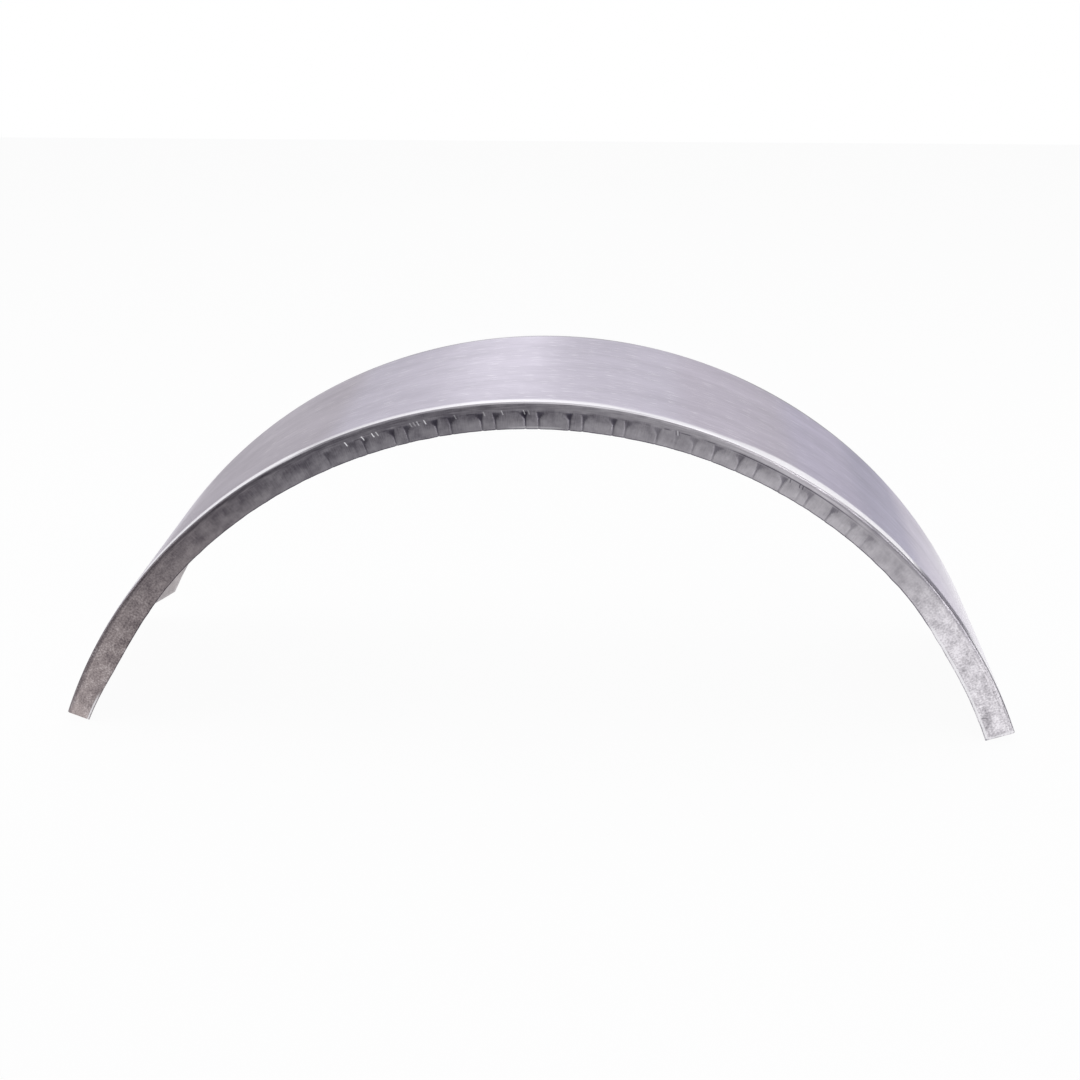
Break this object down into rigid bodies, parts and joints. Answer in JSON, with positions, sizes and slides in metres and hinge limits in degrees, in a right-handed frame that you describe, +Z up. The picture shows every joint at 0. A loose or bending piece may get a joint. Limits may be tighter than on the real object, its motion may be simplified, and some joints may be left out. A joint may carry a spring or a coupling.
{
  "type": "trailer mudguard",
  "caption": "Trailer mudguard rolled from one strip of bare sheet steel: a flat-topped arch with an inward lip folded and crimped along both edges.",
  "frame": {"origin": "on the floor, midway between the two ends and midway between the outer faces of the two lips, with the arch standing on its ends", "axes": "+X from the left end to the right end as the picture shows them, +Y from the front lip to the rear lip, +Z up"},
  "size_m": [0.7494, 0.23, 0.2673],
  "materials": {
    "sheet_steel": "bare mill-finished sheet, lightly brushed along the arch, with handling smears and duller crimped lips"
  },
  "bodies": {
    "root": {"mudguard": "sheet_steel"}
  },
  "joints": []
}
